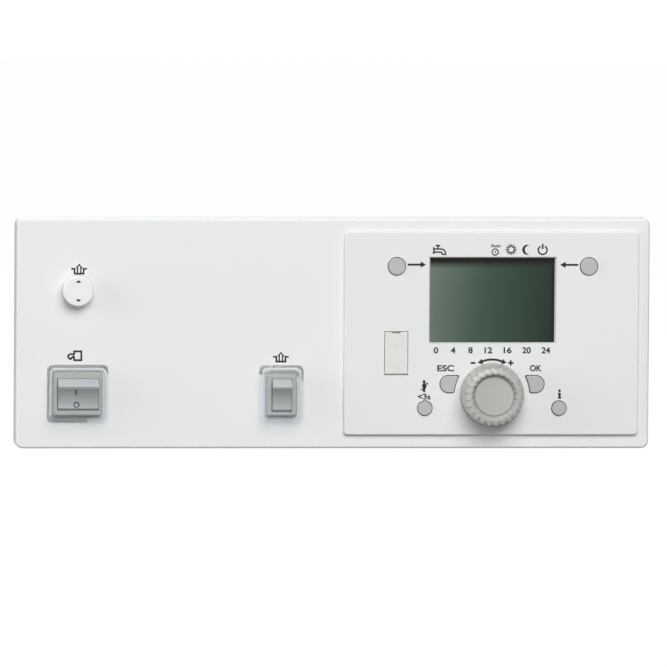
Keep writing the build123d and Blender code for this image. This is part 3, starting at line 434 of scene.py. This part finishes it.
def boot_paint(colour):
    """Clear flexible boot: seen through from the front, milky blue where it is seen edge on."""
    paint = Paint("boot_clear")
    ripple = paint.noise(150.0, 1.0)
    facing = paint.value("ShaderNodeLayerWeight", {}, {"Blend": 0.5}, output="Facing")
    paint.set(
        Base_Color=paint.blend(shade_of(colour, 0.92), colour, ripple),
        Roughness=ripple * 0.08 + 0.06,
        IOR=1.42,
    )
    paint.bump(ripple, 0.01)
    see_through = paint.add("ShaderNodeBsdfTransparent", {}, {0: (0.985, 0.99, 0.995)})
    edge_falloff = 2.4
    edge_share = 0.3
    front_share = 0.03
    body = (facing ** edge_falloff) * edge_share + front_share
    paint.mix_shaders(body, see_through.outputs[0], paint.shader.outputs[0])
    return paint


def light_guide_paint():
    """Clear acrylic light guide behind the display."""
    paint = Paint("light_guide")
    dots = paint.noise(1500.0, 1.0)
    haze = paint.noise(80.0, 2.0)
    paint.set(
        Base_Color=paint.blend((0.78, 0.83, 0.72), (0.88, 0.93, 0.84), haze),
        Roughness=dots * 0.15 + 0.12,
        Coat_Weight=0.4,
    )
    return paint.bump(dots, 0.01)


def ink_paint(colour):
    """Printed ink: almost black, slightly uneven in cover."""
    paint = Paint("legend_ink")
    cover = paint.noise(1400.0, 2.0)
    paint.set(
        Base_Color=paint.blend(colour, shade_of(colour, 2.4), cover * 0.5),
        Roughness=cover * 0.2 + 0.4,
    )
    return paint.bump(cover, 0.005)


def dress(slot, paint):
    """Gives a finish to every CAD node that uses a material slot."""
    dressed = 0
    for part in frame["record"]["subparts"]:
        if part["material_slot"] != slot:
            continue
        node = frame["nodes"][part["node"]]
        node.data.materials.clear()
        node.data.materials.append(paint.material)
        dressed += 1
    if dressed == 0:
        raise RuntimeError(f"no node uses the material slot {slot}")


def soften(node, radius):
    """Rounds the moulded edges of a CAD node by modifiers; its mesh stays as it is."""
    piece = frame["nodes"][node]
    weld = piece.modifiers.new("join_faces", "WELD")
    weld.merge_threshold = 0.002 * MM
    bevel = piece.modifiers.new("soft_edges", "BEVEL")
    bevel.width = radius * MM
    bevel.segments = 3
    bevel.limit_method = "ANGLE"
    bevel.angle_limit = math.radians(40.0)


def arc(x, z, radius, start, end, steps):
    """Points along an arc, its angles in degrees anticlockwise from the right."""
    angles = [math.radians(start + (end - start) * step / steps) for step in range(steps + 1)]
    return [(x + radius * math.cos(angle), z + radius * math.sin(angle)) for angle in angles]


class Pen:
    """Draws thin raised shapes into one mesh, in millimetres to the right and up."""

    def __init__(self, level, settings):
        self.level = level
        self.thickness = settings.thickness / MM
        self.weight = settings.weight
        self.points = []
        self.faces = []

    def pair(self, x, z):
        """The front and rear point of the ink at one place."""
        self.points.append((x * MM, -(self.level + self.thickness) * MM, z * MM))
        self.points.append((x * MM, -(self.level - INK_FOOTING) * MM, z * MM))
        return len(self.points) - 2

    def fill(self, outline):
        """A filled outline, given anticlockwise as seen from the front."""
        corners = [self.pair(x, z) for x, z in outline]
        self.faces.append(tuple(corners))
        self.faces.append(tuple(corner + 1 for corner in reversed(corners)))
        for near, far in zip(corners, corners[1:] + corners[:1]):
            self.faces.append((near, near + 1, far + 1, far))

    def stroke(self, path, width, closed=False):
        """A line of even width along a path."""
        half = width * self.weight / 2
        count = len(path)
        left = []
        right = []
        for place, (x, z) in enumerate(path):
            before = path[place - 1] if closed or place > 0 else None
            after = path[(place + 1) % count] if closed or place < count - 1 else None
            directions = []
            if before is not None:
                directions.append(Vector((x - before[0], z - before[1])).normalized())
            if after is not None:
                directions.append(Vector((after[0] - x, after[1] - z)).normalized())
            along = sum(directions, Vector((0.0, 0.0))).normalized()
            spread = half / max(0.5, along.dot(directions[0]))
            side = Vector((-along.y, along.x)) * spread
            left.append(self.pair(x + side.x, z + side.y))
            right.append(self.pair(x - side.x, z - side.y))
        for step in range(count if closed else count - 1):
            after = (step + 1) % count
            self.faces.append((left[step], right[step], right[after], left[after]))
            self.faces.append((left[step], left[after], left[after] + 1, left[step] + 1))
            self.faces.append((right[after], right[step], right[step] + 1, right[after] + 1))
        if not closed:
            self.faces.append((right[0], left[0], left[0] + 1, right[0] + 1))
            self.faces.append((left[-1], right[-1], right[-1] + 1, left[-1] + 1))

    def ring(self, x, z, radius, width, start=0.0, end=360.0, steps=40):
        """A ring, or a part of one, its angles anticlockwise from the right."""
        whole = end - start >= 360.0
        path = arc(x, z, radius, start, end, steps)
        self.stroke(path[:-1] if whole else path, width, whole)

    def disc(self, x, z, radius, steps=20):
        """A filled round spot."""
        self.fill(arc(x, z, radius, 0.0, 360.0, steps)[:-1])

    def text(self, words, left, right, bottom, top):
        """Letters or figures that fill a box."""
        boldness = 0.3
        curve = bpy.data.curves.new("lettering", "FONT")
        curve.body = words
        curve.size = 10.0
        curve.offset = boldness
        carrier = bpy.data.objects.new("lettering", curve)
        bpy.context.scene.collection.objects.link(carrier)
        bpy.context.view_layer.update()
        mesh = carrier.evaluated_get(bpy.context.evaluated_depsgraph_get()).to_mesh()
        places = [vertex.co.copy() for vertex in mesh.vertices]
        low = Vector((min(p.x for p in places), min(p.y for p in places)))
        high = Vector((max(p.x for p in places), max(p.y for p in places)))
        wide = (right - left) / (high.x - low.x)
        tall = (top - bottom) / (high.y - low.y)
        first = len(self.points)
        for place in places:
            x = left + (place.x - low.x) * wide
            z = bottom + (place.y - low.y) * tall
            self.points.append((x * MM, -(self.level + self.thickness) * MM, z * MM))
        for face in mesh.polygons:
            self.faces.append(tuple(first + corner for corner in face.vertices))
        bpy.data.objects.remove(carrier)
        bpy.data.curves.remove(curve)

    def finish(self, name, body, material, onto=None):
        """Makes the drawn mesh, laid onto a CAD node's surface if one is given."""
        mesh = bpy.data.meshes.new(name)
        mesh.from_pydata(self.points, [], self.faces)
        if onto is not None:
            lay_onto(mesh, frame["nodes"][onto], self.level)
        mesh.update()
        mesh.materials.append(material)
        piece = bpy.data.objects.new(name, mesh)
        bpy.context.scene.collection.objects.link(piece)
        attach(piece, body)


def lay_onto(mesh, node, level):
    """Moves every point along Y by as much as the surface behind it lies off the level."""
    tree = BVHTree.FromPolygons(
        [vertex.co for vertex in node.data.vertices], [face.vertices for face in node.data.polygons]
    )
    ahead = -0.1
    for vertex in mesh.vertices:
        start = Vector((vertex.co.x, ahead, vertex.co.z))
        hit = tree.ray_cast(start, Vector((0.0, 1.0, 0.0)))[0]
        if hit is None:
            raise RuntimeError(f"the ink misses {node.name}")
        vertex.co.y += hit.y + level * MM


def tray_mark(pen, x, z):
    """Tray with an upward arrow standing in it, over the limiter's cap and over the test switch."""
    tray = ((-3.9, 0.3), (-2.3, 0.3), (-2.3, -2.05), (2.15, -2.05), (2.15, 0.3), (3.75, 0.3))
    arrow = (
        (-0.85, -2.05), (-0.85, 0.85), (-1.3, 0.85), (-0.05, 2.3), (1.2, 0.85), (0.75, 0.85), (0.75, -2.05)
    )
    pen.stroke([(x + across, z + up) for across, up in tray], 0.86)
    pen.stroke([(x + across, z + up) for across, up in arrow], 0.68)


def boiler_mark(pen):
    """Boiler with its burner at the left."""
    casing = [(-126.57, -8.72), (-123.11, -8.72), (-123.07, -13.03), (-126.57, -13.03)]
    burner = [
        (-126.57, -11.75), (-126.89, -11.19), (-127.35, -11.41), (-127.82, -12.1), (-128.4, -12.49),
        (-129.09, -12.1), (-129.58, -11.21), (-129.19, -10.43), (-128.35, -10.04), (-127.52, -10.09),
        (-126.69, -10.09), (-126.57, -9.65),
    ]
    pen.stroke(casing + burner, 0.93, closed=True)


def half_moon_shade(pen, cap):
    """Painted shade on the floors of the cap's two finger marks, their flat sides to the middle."""
    low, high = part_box(frame["nodes"][cap].name)
    x = (low[0] + high[0]) / 2 / MM
    z = (low[2] + high[2]) / 2 / MM
    radius = 1.05
    from_middle = 4.04
    pen.fill(arc(x, z + from_middle, radius, 0.0, 180.0, 12))
    pen.fill(arc(x, z - from_middle, radius, 180.0, 360.0, 12))


def on_off_marks(pen):
    """Stroke for on and ring for off, in steps short enough to follow the rocker's curve."""
    steps = 8
    top = Vector((-126.3, -27.13))
    foot = Vector((-126.0, -29.43))
    pen.stroke([tuple(top.lerp(foot, step / steps)) for step in range(steps + 1)], 0.88)
    pen.ring(-125.76, -34.43, 1.2, 0.64, steps=48)


def tap_mark(pen):
    """Water tap: wall flange, spout, stem and handle."""
    pen.stroke([(48.38, 42.21), (48.87, 41.82), (48.87, 39.67), (48.38, 39.28)], 0.73)
    spout = [
        (48.87, 41.48), (52.64, 41.48), (53.62, 41.19), (54.31, 40.45), (54.65, 39.57), (54.7, 38.88),
        (52.99, 38.88), (52.89, 39.47), (52.45, 39.96), (48.87, 39.96),
    ]
    pen.stroke(spout, 0.71)
    pen.stroke([(50.88, 41.43), (50.88, 42.9)], 0.69)
    pen.stroke([(49.8, 43.14), (51.96, 43.14)], 0.83)


def clock_mark(pen):
    """Clock face with two hands."""
    centre = (78.94, 40.01)
    pen.ring(*centre, 1.52, 0.54)
    pen.stroke([(79.53, 40.65), centre, (78.94, 39.57)], 0.49)


def sun_mark(pen):
    """Sun with twelve rays."""
    centre = (86.73, 41.23)
    rays = 12
    pen.ring(*centre, 1.52, 0.64)
    inner = arc(*centre, 1.91, 0.0, 360.0, rays)
    outer = arc(*centre, 2.69, 0.0, 360.0, rays)
    for ray in range(rays):
        pen.stroke([inner[ray], outer[ray]], 0.64)


def moon_mark(pen):
    """Crescent open to the right."""
    x, z = 94.61, 41.14
    hollow_shift = 1.03
    outer = arc(x, z, 2.45, 72.0, 288.0, 20)
    inner = arc(x + hollow_shift, z, 2.13, 268.0, 92.0, 20)
    pen.fill(outer + inner)


def power_mark(pen):
    """Open ring with a bar at its top."""
    pen.ring(102.2, 40.99, 2.15, 0.78, start=120.0, end=420.0)
    pen.stroke([(102.2, 44.03), (102.2, 41.48)], 0.88)


def pointer_mark(pen, tail, tip, side):
    """Thin arrow to the display from a key; side is 1 for an arrow that points right."""
    head = 2.64 * side
    half_height = 1.52
    pen.stroke([tail, (tip[0] - head * 0.8, tip[1])], 1.0)
    corners = [(tip[0] - head, tip[1] + half_height), (tip[0] - head, tip[1] - half_height), tip]
    pen.fill(corners if side > 0 else corners[::-1])


def turn_mark(pen):
    """Curved double arrow over the knob, between minus and plus."""
    bow = [
        (72.67, -13.66), (74.39, -13.03), (76.1, -12.68), (77.86, -12.59),
        (79.63, -12.68), (81.34, -13.03), (83.06, -13.66),
    ]
    pen.stroke(bow, 1.08)
    pen.fill([(70.76, -14.2), (73.41, -15.03), (72.67, -12.24)])
    pen.fill([(84.92, -14.2), (83.06, -12.24), (82.32, -15.03)])
    pen.stroke([(67.34, -14.25), (69.59, -14.25)], 0.98)
    pen.stroke([(85.6, -14.25), (88.34, -14.25)], 0.78)
    pen.stroke([(86.97, -12.88), (86.97, -15.62)], 0.78)


def info_mark(pen):
    """Small letter i with its feet."""
    pen.disc(111.02, -27.91, 0.66)
    pen.stroke([(111.07, -28.99), (111.07, -31.54)], 1.18)
    pen.stroke([(110.28, -29.19), (111.31, -29.19)], 0.64)
    pen.stroke([(110.24, -31.44), (111.9, -31.44)], 0.64)


def sweep_mark(pen):
    """Chimney sweep, much simplified."""
    body = [
        (44.22, -24.05), (43.49, -25.32), (44.12, -26.93), (45.3, -26.93), (45.89, -25.37), (45.1, -24.05)
    ]
    pen.disc(44.56, -23.41, 0.73)
    pen.fill(body)
    pen.stroke([(44.61, -25.91), (44.61, -28.55)], 1.08)
    pen.stroke([(43.05, -26.93), (44.32, -27.62)], 0.64)
    pen.stroke([(45.69, -23.95), (46.47, -24.78)], 0.69)


# Hour scale: figures, their middle across the panel and their width, in millimetres
HOURS = (
    ("0", 50.24, 2.25),
    ("4", 58.67, 2.25),
    ("8", 67.19, 2.2),
    ("12", 75.95, 3.82),
    ("16", 85.41, 4.02),
    ("20", 94.66, 4.21),
    ("24", 104.16, 4.21),
)


class PieceOperator:
    """What every operator of the panel shares."""

    bl_options = {"REGISTER", "UNDO"}

    @property
    def colours(self):
        """The colours as they are set in the sidebar."""
        return bpy.context.scene.panel_colours


class PANEL_OT_stage(PieceOperator, bpy.types.Operator):
    """Sets up the floor, the white backdrop, the lights and the camera"""

    bl_idname = "panel.stage"
    bl_label = "Studio"

    def execute(self, context):
        studio = context.scene.panel_studio
        make_floor()
        make_backdrop(studio.ambient)
        add_light("key_light", (0.38, -2.74, 1.97), (2.8, 2.0), studio.key_power)
        add_light("side_light", (-3.0, -0.6, 0.7), (1.5, 1.5), studio.side_power)
        add_light("front_light", (-0.6, -3.2, 0.5), (1.6, 1.6), studio.front_power)
        add_light("back_light", (-0.8, 2.4, 2.2), (2.4, 1.6), studio.back_power)
        add_camera(studio)
        return {"FINISHED"}


def make_floor():
    """Pale floor: white to the camera but for the panel's shadow, dimmer to everything else."""
    paint = Paint("studio_floor")
    cloud = paint.noise(3.0, 2.0)
    grain = paint.noise(120.0, 2.0)
    paint.set(
        Base_Color=paint.blend((0.20, 0.20, 0.20), (0.24, 0.24, 0.24), cloud),
        Roughness=grain * 0.2 + 0.6,
    )
    paint.bump(grain, 0.05)
    glow_strength = 1.14
    glow_share = 0.86
    glow = paint.add("ShaderNodeEmission", {}, {"Color": WHITE, "Strength": glow_strength})
    seen = paint.value("ShaderNodeLightPath", output="Is Camera Ray")
    paint.mix_shaders(seen * glow_share, paint.shader.outputs[0], glow.outputs[0])
    half = FLOOR_HALF_WIDTH
    mesh = bpy.data.meshes.new("floor")
    corners = [(-half, -half, 0.0), (half, -half, 0.0), (half, half, 0.0), (-half, half, 0.0)]
    mesh.from_pydata(corners, [], [(0, 1, 2, 3)])
    mesh.materials.append(paint.material)
    floor = bpy.data.objects.new("floor", mesh)
    floor.location.z = FLOOR_LEVEL
    bpy.context.scene.collection.objects.link(floor)


def make_backdrop(ambient):
    """White to the camera, dim to everything else."""
    world = bpy.data.worlds.new("backdrop")
    bpy.context.scene.world = world
    world.use_nodes = True
    nodes = Nodes(world.node_tree)
    seen = nodes.value("ShaderNodeLightPath", output="Is Camera Ray")
    strength = seen * (1.0 - ambient) + ambient
    background = nodes.add("ShaderNodeBackground", {}, {"Color": WHITE, "Strength": strength})
    output = nodes.add("ShaderNodeOutputWorld")
    nodes.connect(background.outputs[0], output.inputs["Surface"])


def add_light(name, place, size, power):
    """A soft rectangular light aimed at the panel."""
    lamp = bpy.data.lights.new(name, "AREA")
    lamp.shape = "RECTANGLE"
    lamp.size = size[0]
    lamp.size_y = size[1]
    lamp.energy = power
    light = bpy.data.objects.new(name, lamp)
    light.location = place
    light.rotation_euler = (-Vector(place)).to_track_quat("-Z", "Y").to_euler()
    light.visible_camera = False
    bpy.context.scene.collection.objects.link(light)


def add_camera(studio):
    """Camera to the left of the panel and above it, turned so that the panel's long edges are level."""
    camera = bpy.data.cameras.new("camera")
    holder = bpy.data.objects.new("camera", camera)
    aim = Vector((AIM_ACROSS, -FASCIA_LEVEL * MM, 0.0))
    reach = studio.camera_distance
    holder.location = (-CAMERA_TO_LEFT * reach, -reach, CAMERA_RAISED * reach)
    towards = aim - holder.location
    back = -towards.normalized()
    right = (Vector((1.0, 0.0, 0.0)) - back * back.x).normalized()
    holder.rotation_euler = Matrix((right, back.cross(right), back)).transposed().to_euler()
    camera.sensor_width = SENSOR_WIDTH
    camera.lens = camera.sensor_width * towards.length / studio.picture_width
    bpy.context.scene.collection.objects.link(holder)
    bpy.context.scene.camera = holder
    bpy.context.scene.view_settings.view_transform = "Standard"


class PANEL_OT_mouldings(PieceOperator, bpy.types.Operator):
    """Finishes the fascia, the operator unit's frame and the rear housing"""

    bl_idname = "panel.mouldings"
    bl_label = "Mouldings"

    def execute(self, context):
        grey = (0.55, 0.56, 0.56)
        dress("panel_white", moulded("panel_white", self.colours.fascia, roughness=0.45, mottle=0.012))
        dress("unit_white", moulded("unit_white", self.colours.unit, roughness=0.4, mottle=0.014))
        dress("housing_grey", moulded("housing_grey", grey, roughness=0.5, mottle=0.04, grain=0.03))
        return {"FINISHED"}


class PANEL_OT_controls(PieceOperator, bpy.types.Operator):
    """Finishes the keys, the knob, the service flap and the limiter's cap"""

    bl_idname = "panel.controls"
    bl_label = "Keys, knob, flap and cap"

    def execute(self, context):
        colours = self.colours
        dress("key_grey", moulded("key_grey", colours.keys, roughness=0.42, mottle=0.02))
        dress("knob_grey", moulded("knob_grey", colours.knob, roughness=0.38, mottle=0.025, coat=0.15))
        dress("cap_white", moulded("cap_white", colours.cap, roughness=0.32, mottle=0.01, coat=0.2))
        dress("flap_translucent", flap_paint(colours.flap))
        dress("reset_red", moulded("reset_red", (0.42, 0.03, 0.025), roughness=0.4))

        pen = Pen(FASCIA_LEVEL, context.scene.panel_legends)
        # the cap's half-moons are painted shade in the ink colour, laid on the finger marks' floors
        half_moon_shade(pen, "limiter_cap")
        pen.finish("cap_half_moon_shade", "cap", ink_paint(colours.ink).material, onto="limiter_cap")
        return {"FINISHED"}


class PANEL_OT_switches(PieceOperator, bpy.types.Operator):
    """Finishes the two rocker switches and their boots, and prints the on and off marks"""

    bl_idname = "panel.switches"
    bl_label = "Switches"

    def execute(self, context):
        colours = self.colours
        dress("switch_grey", moulded("switch_grey", colours.bezel, roughness=0.4, mottle=0.03))
        dress("rocker_grey", rocker_paint(colours.rocker))
        dress("boot_clear", boot_paint(colours.boot))
        for rocker in ("main_rocker", "test_rocker"):
            soften(rocker, 0.35)

        pen = Pen(UNIT_LEVEL, context.scene.panel_legends)
        on_off_marks(pen)
        pen.finish("on_off_marks", "main_rocker", ink_paint(colours.ink).material, onto="main_rocker")
        return {"FINISHED"}


class PANEL_OT_display(PieceOperator, bpy.types.Operator):
    """Finishes the display cell, its light guide and its contact strips"""

    bl_idname = "panel.display"
    bl_label = "Display"

    def execute(self, context):
        dress("display_glass", display_paint(self.colours))
        dress("light_guide", light_guide_paint())
        dress("black_rubber", moulded("black_rubber", (0.025, 0.025, 0.027), roughness=0.7, mottle=0.2))
        return {"FINISHED"}


class PANEL_OT_inside(PieceOperator, bpy.types.Operator):
    """Finishes the circuit board, its parts, the screws, springs and clamps"""

    bl_idname = "panel.inside"
    bl_label = "Inner parts"

    def execute(self, context):
        dress("board_green", circuit_board_paint())
        dress("black_plastic", moulded("black_plastic", (0.03, 0.03, 0.032), roughness=0.5, mottle=0.15))
        dress("nylon", moulded("nylon", (0.72, 0.70, 0.64), roughness=0.45, mottle=0.03))
        dress("steel", metal("steel", (0.56, 0.56, 0.58), 0.3))
        dress("brass", metal("brass", (0.78, 0.60, 0.30), 0.28))
        dress("clamp_zinc", metal("clamp_zinc", (0.62, 0.64, 0.66), 0.38, brushed=(12.0, 1.0, 1.0)))
        return {"FINISHED"}


class PANEL_OT_legends(PieceOperator, bpy.types.Operator):
    """Prints the pictograms, the hour scale and the key names"""

    bl_idname = "panel.legends"
    bl_label = "Printed legends"

    def execute(self, context):
        settings = context.scene.panel_legends
        ink = ink_paint(self.colours.ink).material
        pen = Pen(FASCIA_LEVEL, settings)
        tray_mark(pen, -124.34, 31.29)
        tray_mark(pen, -25.42, -11.7)
        boiler_mark(pen)
        pen.finish("fascia_legends", "panel", ink)

        pen = Pen(UNIT_LEVEL, settings)
        tap_mark(pen)
        clock_mark(pen)
        sun_mark(pen)
        moon_mark(pen)
        power_mark(pen)
        pointer_mark(pen, (36.14, 33.84), (45.1, 33.84), 1)
        pointer_mark(pen, (119.74, 33.74), (110.87, 33.74), -1)
        turn_mark(pen)
        sweep_mark(pen)
        info_mark(pen)
        pen.finish("unit_pictograms", "panel", ink)

        pen = Pen(UNIT_LEVEL, settings)
        figures = (-9.6, -6.51)
        key_names = (-18.41, -15.28)
        for words, middle, wide in HOURS:
            pen.text(words, middle - wide / 2, middle + wide / 2, *figures)
        pen.text("ESC", 50.98, 59.21, *key_names)
        pen.text("OK", 96.38, 102.2, *key_names)
        pen.text("Auto", 76.64, 81.64, 42.26, 43.93)
        pen.text("<3s", 41.48, 47.75, -32.22, -29.29)
        pen.finish("unit_lettering", "panel", ink)
        return {"FINISHED"}


PIECES = (
    PANEL_OT_stage,
    PANEL_OT_mouldings,
    PANEL_OT_controls,
    PANEL_OT_switches,
    PANEL_OT_display,
    PANEL_OT_inside,
    PANEL_OT_legends,
)


class PANEL_PT_pieces(bpy.types.Panel):
    """Lists the pieces of the scene"""

    bl_idname = "PANEL_PT_pieces"
    bl_label = "Control Panel"
    bl_space_type = "VIEW_3D"
    bl_region_type = "UI"
    bl_category = "Control Panel"

    def draw(self, context):
        scene = context.scene
        for piece in PIECES:
            self.layout.operator(piece.bl_idname)
        for group in (scene.panel_colours, scene.panel_legends, scene.panel_studio):
            box = self.layout.box()
            for name in group.bl_rna.properties.keys():
                if name not in {"rna_type", "name"}:
                    box.prop(group, name)


CLASSES = (PanelColours, LegendSizes, StudioSettings, *PIECES, PANEL_PT_pieces)


def register():
    for cls in CLASSES:
        bpy.utils.register_class(cls)
    bpy.types.Scene.panel_colours = bpy.props.PointerProperty(type=PanelColours)
    bpy.types.Scene.panel_legends = bpy.props.PointerProperty(type=LegendSizes)
    bpy.types.Scene.panel_studio = bpy.props.PointerProperty(type=StudioSettings)


def unregister():
    del bpy.types.Scene.panel_studio
    del bpy.types.Scene.panel_legends
    del bpy.types.Scene.panel_colours
    for cls in reversed(CLASSES):
        bpy.utils.unregister_class(cls)


def main():
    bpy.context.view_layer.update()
    register()
    bpy.ops.panel.stage()
    bpy.ops.panel.mouldings()
    bpy.ops.panel.controls()
    bpy.ops.panel.switches()
    bpy.ops.panel.display()
    bpy.ops.panel.inside()
    bpy.ops.panel.legends()


if __name__ == "__main__":
    main()
